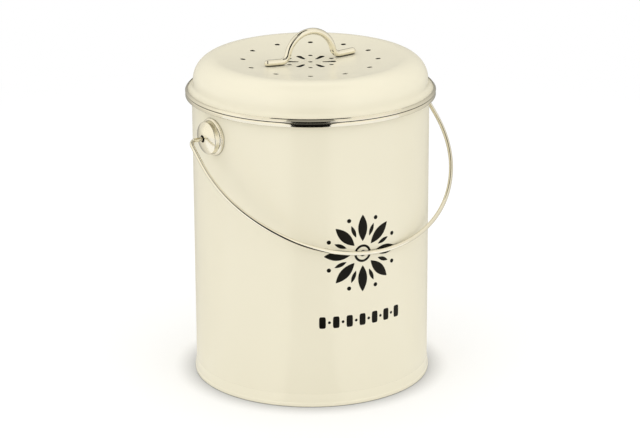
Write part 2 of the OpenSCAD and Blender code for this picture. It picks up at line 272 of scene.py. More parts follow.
def lathe(section, start=0.0, sweep=FULL):
    """A section (radius, height) turned about Z: (r cos a, r sin a, h). A part of a turn has open ends."""
    whole = sweep >= FULL
    count = int(np.ceil(ROUND_STEPS * sweep / FULL)) + (0 if whole else 1)
    a = start + np.linspace(0, sweep, count, endpoint=not whole)
    r, h = section[:, 0], section[:, 1]
    height = np.broadcast_to(h, (count, len(h)))
    return np.stack([np.outer(np.cos(a), r), np.outer(np.sin(a), r), height], axis=-1)


def tube(path, radius, normal):
    """A round tube along a path that lies in a plane, with both ends closed.

    At each point the circle radius (n cos a + u sin a) stands square to the path: n is the plane's normal
    and u is the path's direction crossed with n.
    """
    heading = np.gradient(path, axis=0)
    heading /= np.linalg.norm(heading, axis=1, keepdims=True)
    path, heading = (np.vstack([x[:1], x, x[-1:]]) for x in (path, heading))
    radius = np.concatenate([[0], radius, [0]])
    upward = np.cross(heading, normal)
    a = np.linspace(0, FULL, WIRE_SIDES, endpoint=False)
    ring = np.cos(a)[None, :, None] * np.asarray(normal) + np.sin(a)[None, :, None] * upward[:, None]
    return path[:, None] + radius[:, None, None] * ring


def turned(points, turn):
    """Points turned about Z: (x cos turn - y sin turn, x sin turn + y cos turn, z)."""
    c, s = np.cos(turn), np.sin(turn)
    return points @ np.array([[c, s, 0], [-s, c, 0], [0, 0, 1]])


def place(piece, body, slot, material, *nodes):
    """Gives a finished piece its material and its body, and hides the frame's solids that it stands for; slot
    is not used.
    """
    piece.data.materials.clear()
    piece.data.materials.append(material)
    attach(piece, body)
    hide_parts(*nodes)
    return piece


# ---------------------------------------------------------------- the lid's curves


def lid_curves(size):
    """Radii, centres and angles of the lid's section.

    The dish is part of a sphere that touches the shoulder's circle from above: the distance between their
    centres is the sum of their radii.
    """
    wall_r = size.body_r - size.lid_inset
    shoulder_c = wall_r - size.shoulder_r
    depth, radius = size.dish_depth, size.shoulder_r
    dish_r = (shoulder_c ** 2 - 2 * radius * depth + depth ** 2) / (2 * depth)
    return {
        "wall_r": wall_r,
        "shoulder_c": shoulder_c,
        "shoulder_z": LID_HIGH.z - radius,
        "dish_r": dish_r,
        "dish_z": LID_HIGH.z - depth + dish_r,
        "dish_angle": float(np.arcsin(shoulder_c / (dish_r + radius))),
        "cove_r": wall_r + size.cove_r,
        "cove_z": LID_LOW.z + size.lid_t + size.cove_r,
    }


def lid_face(size, depth):
    """The lid's section from its axis to its edge, on the face that lies depth inside the outer one.

    The arcs of the dish and the shoulder touch, an upright wall joins the shoulder's to the cove's, and the
    edge runs out level.
    """
    c = lid_curves(size)
    turn = c["dish_angle"]
    return np.vstack([
        arc(0, c["dish_z"], c["dish_r"] + depth, -QUARTER, turn - QUARTER, steps=48),
        arc(c["shoulder_c"], c["shoulder_z"], size.shoulder_r - depth, QUARTER + turn, 0, steps=40)[1:],
        arc(c["cove_r"], c["cove_z"], size.cove_r + depth, HALF, HALF + QUARTER, steps=14),
        [[RIM_HIGH.x - size.hem_edge, LID_LOW.z + size.lid_t - depth]],
    ])


def dish_height(size, radius, depth=0.0):
    """Height of the dish, depth inside its outer face: the sphere's centre less the root of R squared less
    r squared.
    """
    c = lid_curves(size)
    return c["dish_z"] - np.sqrt((c["dish_r"] + depth) ** 2 - radius ** 2)


# ---------------------------------------------------------------- shader groups and finishes


def add(tree, kind, inputs=None, **settings):
    """A shader node with its settings; each input takes a value, or the socket that feeds it."""
    node = tree.nodes.new(kind)
    for name, value in settings.items():
        setattr(node, name, value)
    for name, value in (inputs or {}).items():
        socket = node.inputs[name]
        if isinstance(value, bpy.types.NodeSocket):
            tree.links.new(value, socket)
        else:
            socket.default_value = value
    return node


def maths(tree, operation, first, second):
    """The result of a Math node on two values or sockets."""
    return add(tree, "ShaderNodeMath", {0: first, 1: second}, operation=operation).outputs[0]


def ramp(tree, value, start, stop, low=0.0, high=1.0, kind="LINEAR"):
    """A value that goes from low to high, and is held there, while the given one goes from start to stop."""
    ends = {"Value": value, "From Min": start, "From Max": stop, "To Min": low, "To Max": high}
    return add(tree, "ShaderNodeMapRange", ends, interpolation_type=kind).outputs["Result"]


def on_object(tree):
    """The point of the surface in the object's own coordinates."""
    return add(tree, "ShaderNodeTexCoord").outputs["Object"]


def noise(tree, spot, scale, detail, **more):
    """The value of a noise texture at a spot."""
    given = {"Vector": spot, "Scale": scale, "Detail": detail, **more}
    return add(tree, "ShaderNodeTexNoise", given).outputs["Fac"]


def spun(tree, spot, turn):
    """A spot turned about Z."""
    given = {"Vector": spot, "Angle": turn}
    return add(tree, "ShaderNodeVectorRotate", given, rotation_type="Z_AXIS").outputs[0]


def shader_group(name, inputs, outputs):
    """Decorator for fill(group, given, out), which builds the shader group of this name once.

    The group has float inputs {label: default} and float outputs. Each call gives the group.
    """
    def decorate(fill):
        def fetch():
            if name not in bpy.data.node_groups:
                group = bpy.data.node_groups.new(name, "ShaderNodeTree")
                for label, value in inputs.items():
                    socket = group.interface.new_socket(label, in_out="INPUT", socket_type="NodeSocketFloat")
                    socket.default_value = value
                for label in outputs:
                    group.interface.new_socket(label, in_out="OUTPUT", socket_type="NodeSocketFloat")
                given = group.nodes.new("NodeGroupInput").outputs
                fill(group, given, group.nodes.new("NodeGroupOutput").inputs)
            return bpy.data.node_groups[name]
        return fetch
    return decorate


@shader_group("Soft clouds", {"Scale": 20.0, "Low": 0.0, "High": 1.0}, ["Value"])
def soft_clouds(group, given, out):
    """Slow, cloudy variation between Low and High, for tone and gloss."""
    cloud = noise(group, on_object(group), given["Scale"], 3.0)
    value = ramp(group, cloud, 0.32, 0.68, given["Low"], given["High"], "SMOOTHSTEP")
    group.links.new(value, out["Value"])


@shader_group("Paint skin", {"Ripple scale": 450.0, "Speck scale": 900.0, "Speck": 0.3}, ["Height"])
def paint_skin(group, given, out):
    """Height of a baked paint film, soft ripples with a few fine specks."""
    spot = on_object(group)
    ripple = noise(group, spot, given["Ripple scale"], 1.0, Roughness=0.4)
    cells = add(group, "ShaderNodeTexVoronoi", {
        "Vector": spot, "Scale": given["Speck scale"]}, feature="SMOOTH_F1").outputs["Distance"]
    speck = maths(group, "MULTIPLY", ramp(group, cells, 0.0, 0.22, 1.0, 0.0, "SMOOTHSTEP"), given["Speck"])
    group.links.new(maths(group, "ADD", ripple, speck), out["Height"])


@shader_group(
    "Polish lines", {"Fineness": 4000.0, "Length": 6.0, "Low": 0.0, "High": 1.0}, ["Value", "Height"])
def polish_lines(group, given, out):
    """Fine lines left by polishing round the Z axis, as a value and a height.

    The lines run round because the noise reads the radius and the height closely and the angle loosely.
    """
    split = add(group, "ShaderNodeSeparateXYZ", {"Vector": on_object(group)}).outputs
    flat = add(group, "ShaderNodeCombineXYZ", {"X": split["X"], "Y": split["Y"]}).outputs[0]
    radius = add(group, "ShaderNodeVectorMath", {0: flat}, operation="LENGTH").outputs["Value"]
    around = maths(group, "ARCTAN2", split["Y"], split["X"])
    spot = add(group, "ShaderNodeCombineXYZ", {
        "X": maths(group, "MULTIPLY", radius, given["Fineness"]),
        "Y": maths(group, "MULTIPLY", around, given["Length"]),
        "Z": maths(group, "MULTIPLY", split["Z"], given["Fineness"])}).outputs[0]
    lines = noise(group, spot, 1.0, 2.0)
    group.links.new(ramp(group, lines, 0.3, 0.7, given["Low"], given["High"]), out["Value"])
    group.links.new(lines, out["Height"])


@shader_group("Crevice shade", {"Reach": 0.001, "Dark": 0.1}, ["Value"])
def crevice_shade(group, given, out):
    """Painted shade for a colour: 1 in the open, and Dark in a joint or hole that is closed in nearer than
    Reach, where shade falls.
    """
    near = add(group, "ShaderNodeAmbientOcclusion", {"Distance": given["Reach"]}, samples=8).outputs["AO"]
    group.links.new(ramp(group, near, 0.25, 0.85, given["Dark"], 1.0), out["Value"])


@shader_group("Fibre mat", {"Fineness": 900.0, "Length": 120.0}, ["Value", "Height"])
def fibre_mat(group, given, out):
    """Matted fibres, long soft strands crossing at two slants, as a value and a height."""
    spot = on_object(group)
    scale = add(group, "ShaderNodeCombineXYZ", {
        "X": given["Length"], "Y": given["Fineness"], "Z": given["Fineness"]}).outputs[0]
    strands = []
    for turn in (0.5, 2.2):
        drawn = add(group, "ShaderNodeVectorMath", {
            0: spun(group, spot, turn), 1: scale}, operation="MULTIPLY").outputs[0]
        strands.append(noise(group, drawn, 1.0, 3.0, Distortion=1.2))
    top = maths(group, "MAXIMUM", *strands)
    group.links.new(ramp(group, top, 0.42, 0.72), out["Value"])
    group.links.new(top, out["Height"])


def use(tree, group, **values):
    """Places a shader group in a material with its own values, and gives its outputs."""
    node = tree.nodes.new("ShaderNodeGroup")
    node.node_tree = group()
    for name, value in values.items():
        node.inputs[name.replace("_", " ")].default_value = value
    return node.outputs


def finish(name, constants):
    """Decorator for fill(tree, shader), which builds the material of this name once.

    Its Principled shader holds the constants {socket: value}. Each call gives the material.
    """
    def decorate(fill):
        def fetch():
            if name not in bpy.data.materials:
                made = bpy.data.materials.new(name)
                made.use_nodes = True
                shader = made.node_tree.nodes["Principled BSDF"]
                for label, value in constants.items():
                    shader.inputs[label].default_value = value
                fill(made.node_tree, shader)
            return bpy.data.materials[name]
        return fetch
    return decorate


def vary_colour(tree, shader, base, low, high, value, shade=None):
    """Base Color runs from base times low to base times high as value goes from 0 to 1, times the painted
    shade if one is given.
    """
    ends = {6: (*(c * low for c in base), 1.0), 7: (*(c * high for c in base), 1.0), 0: value}
    colour = add(tree, "ShaderNodeMix", ends, data_type="RGBA").outputs[2]
    if shade:
        colour = add(tree, "ShaderNodeVectorMath", {0: colour, "Scale": shade}, operation="SCALE").outputs[0]
    tree.links.new(colour, shader.inputs["Base Color"])


def bump(tree, shader, height, strength, distance):
    """Feeds a height in metres times distance to the shader's normal."""
    made = add(tree, "ShaderNodeBump", {"Height": height, "Strength": strength, "Distance": distance})
    tree.links.new(made.outputs["Normal"], shader.inputs["Normal"])


@finish("Cream paint", {"IOR": 1.5})
def cream_paint(tree, shader):
    """Baked cream paint: even and glossy, with soft ripples and a slow drift in tone."""
    tone = use(tree, soft_clouds, Scale=14.0, Low=0.0, High=1.0)["Value"]
    gloss = use(tree, soft_clouds, Scale=32.0, Low=0.20, High=0.27)["Value"]
    skin = use(tree, paint_skin, Ripple_scale=420.0, Speck_scale=800.0, Speck=0.25)["Height"]
    # Painted shade: the paint's colour darkens in joints and holes, where shade falls
    shade = use(tree, crevice_shade, Reach=1.2 * MM, Dark=0.30)["Value"]
    vary_colour(tree, shader, bpy.context.scene.caddy_colours.cream, 0.992, 1.004, tone, shade)
    tree.links.new(gloss, shader.inputs["Roughness"])
    bump(tree, shader, skin, 0.25, 0.03 * MM)


def steel_finish(name, low, high, reach, dark):
    """Bright steel with faint lines from polishing, whose colour is painted darker where it turns away from
    the eye, a painted shade.

    Its roughness runs from low to high, and its colour goes to dark in a joint that is closed in nearer than
    reach, a painted shade.
    """
    @finish(name, {"Metallic": 1.0})
    def fill(tree, shader):
        tone = use(tree, soft_clouds, Scale=60.0, Low=0.0, High=1.0)["Value"]
        lines = use(tree, polish_lines, Fineness=5000.0, Length=8.0, Low=low, High=high)
        crevice = use(tree, crevice_shade, Reach=reach, Dark=dark)["Value"]
        # Painted shade: the colour darkens where the surface turns away from the eye, and in joints
        away = add(tree, "ShaderNodeLayerWeight", {"Blend": 0.5}).outputs["Facing"]
        shade = maths(tree, "MULTIPLY", crevice, ramp(tree, away, 0.62, 0.95, 1.0, 0.30))
        vary_colour(tree, shader, bpy.context.scene.caddy_colours.steel, 0.97, 1.0, tone, shade)
        tree.links.new(lines["Value"], shader.inputs["Roughness"])
        bump(tree, shader, lines["Height"], 0.05, 0.01 * MM)
    return fill


# One steel in four copies: satin has more roughness, and the others differ only in painted joint shade, which
# reaches wider on the rim and hem and is fainter on the handle
wire_steel = steel_finish("Polished steel", 0.04, 0.09, 1.6 * MM, 0.03)
faint_shade_steel = steel_finish("Steel, faint painted shade", 0.04, 0.09, 1.6 * MM, 0.5)
wide_shade_steel = steel_finish("Steel, wide painted shade", 0.04, 0.09, 3.4 * MM, 0.03)
ear_steel = steel_finish("Satin steel", 0.17, 0.24, 1.6 * MM, 0.03)


@finish("Rolled steel", {"Metallic": 1.0})
def rolled_steel(tree, shader):
    """Plain rolled sheet for the collar and clips, duller and streakier than the rim."""
    lines = use(tree, polish_lines, Fineness=2600.0, Length=4.0, Low=0.0, High=1.0)
    gloss = use(tree, soft_clouds, Scale=45.0, Low=0.28, High=0.40)["Value"]
    vary_colour(tree, shader, bpy.context.scene.caddy_colours.plain_steel, 0.88, 1.06, lines["Value"])
    tree.links.new(gloss, shader.inputs["Roughness"])
    bump(tree, shader, lines["Height"], 0.15, 0.02 * MM)


@finish("Charcoal fibre", {"Roughness": 0.95, "Sheen Weight": 0.04, "Specular IOR Level": 0.1})
def charcoal_fibre(tree, shader):
    """Charcoal-filled felt: near black, matte, with matted fibres."""
    fibres = use(tree, fibre_mat, Fineness=1100.0, Length=140.0)
    vary_colour(tree, shader, bpy.context.scene.caddy_colours.charcoal, 0.6, 2.6, fibres["Value"])
    bump(tree, shader, fibres["Height"], 0.9, 0.6 * MM)


@finish("Print ink", {"IOR": 1.5, "Specular IOR Level": 0.12})
def print_ink(tree, shader):
    """Olive-black ink, a little uneven where it was pressed on."""
    tone = use(tree, soft_clouds, Scale=120.0, Low=0.0, High=1.0)["Value"]
    gloss = use(tree, soft_clouds, Scale=260.0, Low=0.34, High=0.48)["Value"]
    skin = use(tree, paint_skin, Ripple_scale=700.0, Speck_scale=1500.0, Speck=0.5)["Height"]
    vary_colour(tree, shader, bpy.context.scene.caddy_colours.ink, 0.85, 1.2, tone)
    tree.links.new(gloss, shader.inputs["Roughness"])
    bump(tree, shader, skin, 0.3, 0.02 * MM)


# ---------------------------------------------------------------- pieces

# Where a corner's radius is no size of its own, it is a share of the sheet's thickness t, as in a real bend


class CADDY_OT_bucket(bpy.types.Operator):
    """Make the bucket's painted wall and its base, with the band that folds up round the wall"""

    bl_idname = "caddy.bucket"
    bl_label = "Bucket"

    def execute(self, context):
        size = context.scene.caddy_sizes
        outer, t = size.body_r, size.sheet_t
        inner, flange_z = outer - t, RIM_HIGH.z - size.ring_lip - t
        wall = rounded(
            (inner, t, 0), (outer, t, 0), (outer, flange_z, 0.5 * t), (outer + size.flange_w, flange_z, 0),
            (outer + size.flange_w, flange_z + t, 0), (inner, flange_z + t, 0.9 * t))
        made = make_mesh("painted_wall", [(lathe(wall), True, True)])
        place(made, "bucket", "cream_paint", cream_paint(), "bucket_wall")

        # The band flares straight out from the wall, and its lip is a half wave of the cosine
        skirt, lift, proud = inner - t, size.pan_lift, outer + SHEET_GAP
        wave = np.linspace(0, HALF, 13)
        lip = np.stack([
            outer + size.band_t - size.band_lip * (1 - np.cos(wave)) / 2,
            size.band_lip_h + (size.band_h - size.band_lip_h) * wave / HALF], axis=1)
        edge_r = size.band_edge_r
        edge = arc(outer + size.band_t - edge_r, edge_r, edge_r, -QUARTER, 0, steps=8)
        under = rounded((0, lift, 0), (skirt, lift, 1.5 * t), (skirt, 0, 0.3 * t), (outer, 0, 0))[:-1]
        inside = rounded((outer, t, 0), (inner, t, 0), (inner, lift + t, 0.5 * t), (0, lift + t, 0))
        base = np.vstack([under, edge, lip, [[proud, size.band_top]], inside])
        made = make_mesh("painted_base", [(lathe(base), True, False)])
        place(made, "bucket", "cream_paint", cream_paint(), "base_pan")
        return {"FINISHED"}


class CADDY_OT_rim_ring(bpy.types.Operator):
    """Make the polished ring that is rolled over the mouth's flange"""

    bl_idname = "caddy.rim_ring"
    bl_label = "Rim ring"

    def execute(self, context):
        size = context.scene.caddy_sizes
        low, high, outer, outside = RIM_LOW.z, RIM_HIGH.z, size.body_r, RIM_HIGH.x
        flange_z, t = high - size.ring_lip - size.sheet_t, size.sheet_t
        toe, flange = outer + SHEET_GAP, outer + size.flange_w
        ring = rounded(
            (toe, low, size.ring_toe_r), (outside, low, size.ring_low_r),
            (outside - size.ring_lean, high, size.ring_top_r), (outer - t, high, 0.45 * size.ring_lip),
            (outer - t, flange_z + t, 0), (flange, flange_z + t, 0),
            (flange, flange_z, 0), (toe, flange_z, 0))
        made = make_mesh("polished_rim_ring", [(lathe(ring), True, True)])
        place(made, "bucket", "polished_steel", wide_shade_steel(), "rim_ring")
        return {"FINISHED"}


class CADDY_OT_ears(bpy.types.Operator):
    """Make the two pressed ears that hold the bail"""

    bl_idname = "caddy.ears"
    bl_label = "Ears"

    def execute(self, context):
        size = context.scene.caddy_sizes
        for name, node, side in (("ear_button_left", "ear_left", -1), ("ear_button_right", "ear_right", 1)):
            made = make_mesh(name, [(self.surface(size, side), True, True)])
            place(made, "bucket", "polished_steel", ear_steel(), node)
        return {"FINISHED"}

    def surface(self, size, side):
        """The section (distance from the pivot's axis, height over the wall) turned about X.

        The crown is part of a sphere through the cup's edge. Points that would lie inside the bucket's
        wall are brought out to it: x is never less than the root of R squared less y squared.
        """
        cup, hole, t, top = size.cup_r, size.ear_hole_r, size.ear_t, size.cup_h + size.crown_h
        crown_r = (cup ** 2 + size.crown_h ** 2) / (2 * size.crown_h)
        centre = top - crown_r
        # The crown runs from the hole's rounded edge to the cup's, and the skirt ends inside the wall
        start_r, end_r, skirt_z = hole + 0.3 * t, cup - 0.55 * t, -2 * t
        crown = arc(0, centre, crown_r, np.arccos(start_r / crown_r), np.arccos(end_r / crown_r), steps=28)
        side_wall = rounded(
            (end_r, crown[-1, 1], 0), (cup, size.cup_h - 0.05 * t, 0.9 * t),
            (cup + 0.1 * t, t, 1.3 * t), (size.ear_r, 0.9 * t, 0.45 * t), (size.ear_r, skirt_z, 0))[1:]
        inner_r, crest = crown_r - t, crown[0, 1]
        under = arc(0, centre, inner_r, np.arccos((cup - t) / inner_r), np.arccos(hole / inner_r), steps=16)
        lip = rounded((hole, under[-1, 1], 0), (hole, crest, 0.35 * t), (start_r, crest, 0))[:-1]
        section = np.vstack([crown, side_wall, [[cup - t, skirt_z]], under, lip])
        turn = lathe(section)
        across, height = turn[..., :2], turn[..., 2]
        wall = np.sqrt(size.body_r ** 2 - across[..., 0] ** 2) - size.ear_sink
        out = np.maximum(size.body_r + height, wall)
        return np.stack([side * out, across[..., 0], PIVOT.z + across[..., 1]], axis=-1)


class CADDY_OT_bail(bpy.types.Operator):
    """Make the bent wire that the caddy is carried by"""

    bl_idname = "caddy.bail"
    bl_label = "Bail"

    def execute(self, context):
        size = context.scene.caddy_sizes
        half, radius = self.half_path(size)
        across = np.concatenate([-half[::-1, 0], half[1:, 0]])
        down = np.concatenate([half[::-1, 1], half[1:, 1]])
        radius = np.concatenate([radius[::-1], radius[1:]])
        tilt = np.arcsin((size.body_r + size.wire_r + size.rest_gap) / size.bail_l)
        path = np.stack([across, -down * np.sin(tilt), PIVOT.z - down * np.cos(tilt)], axis=1)
        normal = np.array([0, np.cos(tilt), -np.sin(tilt)])
        made = make_mesh("bent_bail_wire", [(tube(path, radius, normal), False, True)])
        place(made, "bail", "polished_steel", wire_steel(), "bail_wire")
        return {"FINISHED"}

    def half_path(self, size):
        """The right half from its middle to its end in the ear, as (across, down from the pivot) and radius.

        A wide curve about the middle meets a shoulder curve, which meets a straight leg, and each touches
        the next. Their radii follow from the leg's place, the bail's length and the wide curve's angle.
        """
        leg_x, turn = BAIL_HIGH.x - size.wire_r, size.crown_angle
        s, c, reach = np.sin(turn), np.cos(turn), size.bail_l - size.leg_l
        shared = s + c - 1
        wide_r = (leg_x * c - (1 - s) * reach) / shared
        shoulder_r = (s * reach - (1 - c) * leg_x) / shared
        corner_x = leg_x - size.corner_r
        head_x = size.body_r + size.cup_h + size.crown_h - size.ear_t - size.head_play
        path = np.vstack([
            arc(0, size.bail_l - wide_r, wide_r, QUARTER, QUARTER - turn, steps=70),
            arc(leg_x - shoulder_r, size.leg_l, shoulder_r, QUARTER - turn, 0, steps=30)[1:],
            [[leg_x, size.leg_l - (size.leg_l - size.corner_r) / 2]],
            arc(corner_x, size.corner_r, size.corner_r, 0, -QUARTER, steps=14),
            [[head_x + size.head_step, 0], [head_x, 0], [head_x - size.head_t, 0]]])
        radius = np.full(len(path), size.wire_r)
        radius[-2:] = size.head_r
        return path, radius


# How far the plug that cuts a hole stands out of the sheet on each side, and from what depth it has its
# full burr, as a share of the sheet's thickness
CUT_OVER = 3 * MM
BURR_FROM = 1.1


class CADDY_OT_lid(bpy.types.Operator):
    """Make the lid's painted shell, with its dish, shoulder, cove and vent holes"""

    bl_idname = "caddy.lid"
    bl_label = "Lid shell"

    def execute(self, context):
        size = context.scene.caddy_sizes
        section = np.vstack([lid_face(size, 0), lid_face(size, size.lid_t)[::-1]])
        shell = make_mesh("painted_lid", [(lathe(section), True, False)])
        cutter = make_mesh("vent_cutter", self.cutters(size))
        cut = shell.modifiers.new("vents", "BOOLEAN")
        cut.operation, cut.solver, cut.object = "DIFFERENCE", "EXACT", cutter
        evaluated = shell.evaluated_get(context.evaluated_depsgraph_get())
        pierced = bpy.data.meshes.new_from_object(evaluated)
        shell.modifiers.clear()
        shell.data = pierced
        bpy.data.objects.remove(cutter)
        if len(pierced.vertices) <= len(section) * ROUND_STEPS:
            raise RuntimeError("The vent holes could not be cut in the lid")
        pierced.shade_smooth()
        pierced.set_sharp_from_angle(angle=SHARP_ANGLE)
        place(shell, "lid", "cream_paint", cream_paint(), "lid_shell")
        return {"FINISHED"}

    def cutters(self, size):
        """A plug for each hole: 12 vents, 6 small holes, 6 petals between those, and the middle hole."""
        vent = arc(0, 0, size.vent_r, 0, FULL, steps=32)[:-1]
        hole = arc(0, 0, size.inner_r, 0, FULL, steps=28)[:-1]
        plugs = []
        for count, first, distance, outline in (
                (12, 0, size.vent_ring_r, vent), (6, 0, size.inner_ring_r, hole),
                (6, 0.5, 0, self.petal(size)), (1, 0, 0, hole)):
            for i in range(count):
                turn = size.lid_turn + FULL * (i + first) / count
                plugs.append((self.plug(size, outline + [distance, 0], turn), False, True))
        return plugs

    def petal(self, size):
        """Outline of a petal along X: a wide round end and a narrow one, joined by their two tangents.

        The cosine of the angle at which they leave is the difference of the radii over the distance between
        the centres.
        """
        end_r, tip_r = size.petal_w / 2, size.petal_tip_w / 2
        centre, tip = size.petal_out - end_r, size.petal_in + tip_r
        side = np.arccos((end_r - tip_r) / (centre - tip))
        return np.vstack([
            arc(centre, 0, end_r, side - HALF, HALF - side, steps=24),
            arc(tip, 0, tip_r, HALF - side, HALF + side, steps=6)])

    def plug(self, size, outline, turn):
        """A closed plug whose outline widens by the paint's rounding just below the dish's face.

        Each layer is the outline moved out along its own normals by an amount, at a height over the face.
        """
        along = np.roll(outline, -1, axis=0) - np.roll(outline, 1, axis=0)
        out = np.stack([along[:, 1], -along[:, 0]], axis=1) / np.linalg.norm(along, axis=1, keepdims=True)
        flat = np.column_stack([outline, np.zeros(len(outline))])
        face = dish_height(size, np.linalg.norm(outline, axis=1))
        edge = size.vent_edge
        a = np.linspace(0, QUARTER, 5)
        grow = np.concatenate([[size.vent_burr, size.vent_burr], edge * (1 - np.cos(a)), [edge]])
        rise = np.concatenate([[-CUT_OVER, -BURR_FROM * size.lid_t], edge * (np.sin(a) - 1), [CUT_OVER]])
        layers = np.repeat(flat[None], len(grow), axis=0)
        layers[..., :2] += grow[:, None, None] * out[None]
        layers[..., 2] = face[None] + rise[:, None]
        x, y = flat.mean(axis=0)[:2]
        low, high = (
            np.broadcast_to([x, y, layers[i, :, 2].mean()], (1, *flat.shape)) for i in (0, -1))
        return turned(np.concatenate([low, layers, high]), turn)


class CADDY_OT_lid_edge(bpy.types.Operator):
    """Make the lid's polished hem and the collar that centres the lid in the mouth"""

    bl_idname = "caddy.lid_edge"
    bl_label = "Lid hem and collar"

    def execute(self, context):
        size = context.scene.caddy_sizes
        low, high, t, outside = HEM_LOW.z, HEM_HIGH.z, size.hem_t, RIM_HIGH.x
        lip_r, seat_r = lid_curves(size)["cove_r"], outside - size.hem_edge
        hem = rounded(
            (lip_r, low, size.hem_lip_low_r), (outside, low, 0.5 * t),
            (outside, low + size.hem_side, 0.6 * t),
            (outside - size.hem_slope, high - size.hem_step, 0.6 * t),
            (outside - size.hem_top, high, 0.5 * t),
            (lip_r, high, size.hem_lip_r), (lip_r, high - t, size.hem_lip_r),
            (seat_r, high - t, 0), (seat_r, low + t, 0), (lip_r, low + t, size.hem_lip_low_r))
        made = make_mesh("polished_lid_hem", [(lathe(hem), True, True)])
        place(made, "lid", "polished_steel", wide_shade_steel(), "lid_hem")

        outer, t = size.body_r - size.sheet_t - size.collar_gap, size.collar_t
        low, high = COLLAR_LOW.z, COLLAR_HIGH.z
        collar = rounded(
            (outer - t, low, 0.3 * t), (outer, low, 0.3 * t), (outer, high - t, 0.5 * t),
            (seat_r, high - t, 0), (seat_r, high, 0), (outer - t, high, 1.4 * t))
        made = make_mesh("lid_collar_band", [(lathe(collar), True, True)])
        place(made, "lid", "plain_steel", rolled_steel(), "lid_collar")
        return {"FINISHED"}


class CADDY_OT_lid_handle(bpy.types.Operator):
    """Make the steel rod handle, an arch between two feet that lie on the dish"""

    bl_idname = "caddy.lid_handle"
    bl_label = "Lid handle"

    def execute(self, context):
        size = context.scene.caddy_sizes
        half, radius = self.half_path(size)
        path = np.vstack([half[::-1] * [-1, 1], half[1:]])
        radius = np.concatenate([radius[::-1], radius[1:]])
        path = np.stack([path[:, 0], np.zeros(len(path)), path[:, 1]], axis=1)
        rod = turned(tube(path, radius, np.array([0, 1, 0])), size.lid_turn)
        made = make_mesh("steel_rod_handle", [(rod, False, True)])
        place(made, "lid", "polished_steel", faint_shade_steel(), "lid_handle")
        return {"FINISHED"}

    def half_path(self, size):
        """The right half from the top to the foot's end, as (x, z) and radius.

        The arch turns by lean until its tangent meets the bend, and the bend turns back until the foot is
        level. The foot then keeps its rod's radius and the weld's gap over the dish, and ends half round.
        """
        arch_r, bend_r, rod_r = size.arch_r, size.bend_r, size.rod_r
        over = size.foot_gap + rod_r
        arch_z = HANDLE_HIGH.z - rod_r - arch_r
        foot_z = dish_height(size, np.sqrt((arch_r + bend_r) ** 2 - bend_r ** 2)) + over
        lean = np.arccos((bend_r + foot_z - arch_z) / (arch_r + bend_r))
        foot_x = (arch_r + bend_r) * np.sin(lean)
        end_x = foot_x + size.foot_l - rod_r
        foot = np.linspace(foot_x, end_x, 13)[1:]
        a = np.linspace(0, QUARTER, 10)[1:-1]
        tip = end_x + rod_r * np.sin(a)
        path = np.vstack([
            arc(0, arch_z, arch_r, QUARTER, QUARTER - lean, steps=40),
            arc(foot_x, foot_z + bend_r, bend_r, -QUARTER - lean, -QUARTER, steps=20)[1:],
            np.stack([foot, dish_height(size, foot) + over], axis=1),
            np.stack([tip, dish_height(size, tip) + over], axis=1)])
        radius = np.full(len(path), rod_r)
        radius[-len(tip):] = rod_r * np.cos(a)
        return path, radius


# Clips under the lid, and the waves in the pad's faces: radians a metre, and direction
CLIPS = 4
PAD_WAVES = ((190, 0.3), (240, 1.5), (310, 2.5), (420, 4.1))


class CADDY_OT_filter(bpy.types.Operator):
    """Make the charcoal pad under the lid and the four clips that hold it"""

    bl_idname = "caddy.filter"
    bl_label = "Charcoal filter and clips"

    def execute(self, context):
        size = context.scene.caddy_sizes
        self.pad(size)
        for i in range(CLIPS):
            self.clip(size, f"filter_clip_{i + 1}", f"pad_clip_{i + 1}")
        return {"FINISHED"}

    def pad(self, size):
        """A thick disc with a soft edge, whose faces rise and fall by a sum of slow waves.

        A wave is the cosine of a phase plus its pace times the way along its direction, and the sum fades
        to nothing at the edge.
        """
        low, high, outer, soft = PAD_LOW.z, PAD_HIGH.z, PAD_HIGH.x, size.pad_edge_r
        rings = np.linspace(0, outer - soft, 40)
        faces = [np.stack([rings, np.full(len(rings), z)], axis=1) for z in (low, high)]
        edge = np.vstack([
            arc(outer - soft, low + soft, soft, -QUARTER, 0, steps=8)[1:],
            arc(outer - soft, high - soft, soft, 0, QUARTER, steps=8)[:-1]])
        points = lathe(np.vstack([faces[0], edge, faces[1][::-1]]))
        x, y = points[..., 0], points[..., 1]
        waves = sum(np.cos(pace * (x * np.cos(way) + y * np.sin(way)) + 3 * way) for pace, way in PAD_WAVES)
        hollow = (waves + len(PAD_WAVES)) / (2 * len(PAD_WAVES))
        inward = np.sign((low + high) / 2 - points[..., 2])
        fade = np.clip((outer - np.hypot(x, y)) / soft, 0, 1)
        points[..., 2] += inward * fade * hollow * size.pad_waves
        made = make_mesh("charcoal_pad", [(points, True, False)])
        place(made, "lid", "charcoal_pad", charcoal_fibre(), "charcoal_filter")

    def clip(self, size, node, name):
        """A bent strip: its section (radius, height) is turned through a small angle and its ends are closed.

        The strip runs in under the pad, up beside it and out along the lid's underside.
        """
        low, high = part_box(node)
        t, sweep = size.clip_t, size.clip_angle
        centre = (low + high) / 2
        middle = float(np.arctan2(centre.y, centre.x))
        grip, leg = PAD_HIGH.x - size.clip_grip, PAD_HIGH.x + size.clip_play
        bend, tab = leg + t, leg + t + size.clip_tab
        at_leg, at_bend, at_tab = (dish_height(size, r, size.lid_t) - size.clip_gap for r in (leg, bend, tab))
        section = rounded(
            (grip, low.z, 0.3 * t), (bend, low.z, 1.2 * t), (bend, at_bend - t, 0.5 * t),
            (tab, at_tab - t, 0.3 * t), (tab, at_tab, 0.3 * t), (leg, at_leg, 1.2 * t),
            (leg, low.z + t, 0.5 * t), (grip, low.z + t, 0.3 * t))
        body = lathe(section, middle - sweep / 2, sweep)
        ends = [np.broadcast_to(body[i].mean(axis=0), body[i].shape)[None] for i in (0, -1)]
        made = make_mesh(name, [(np.concatenate([ends[0], body, ends[1]]), False, True)])
        place(made, "lid", "plain_steel", rolled_steel(), node)


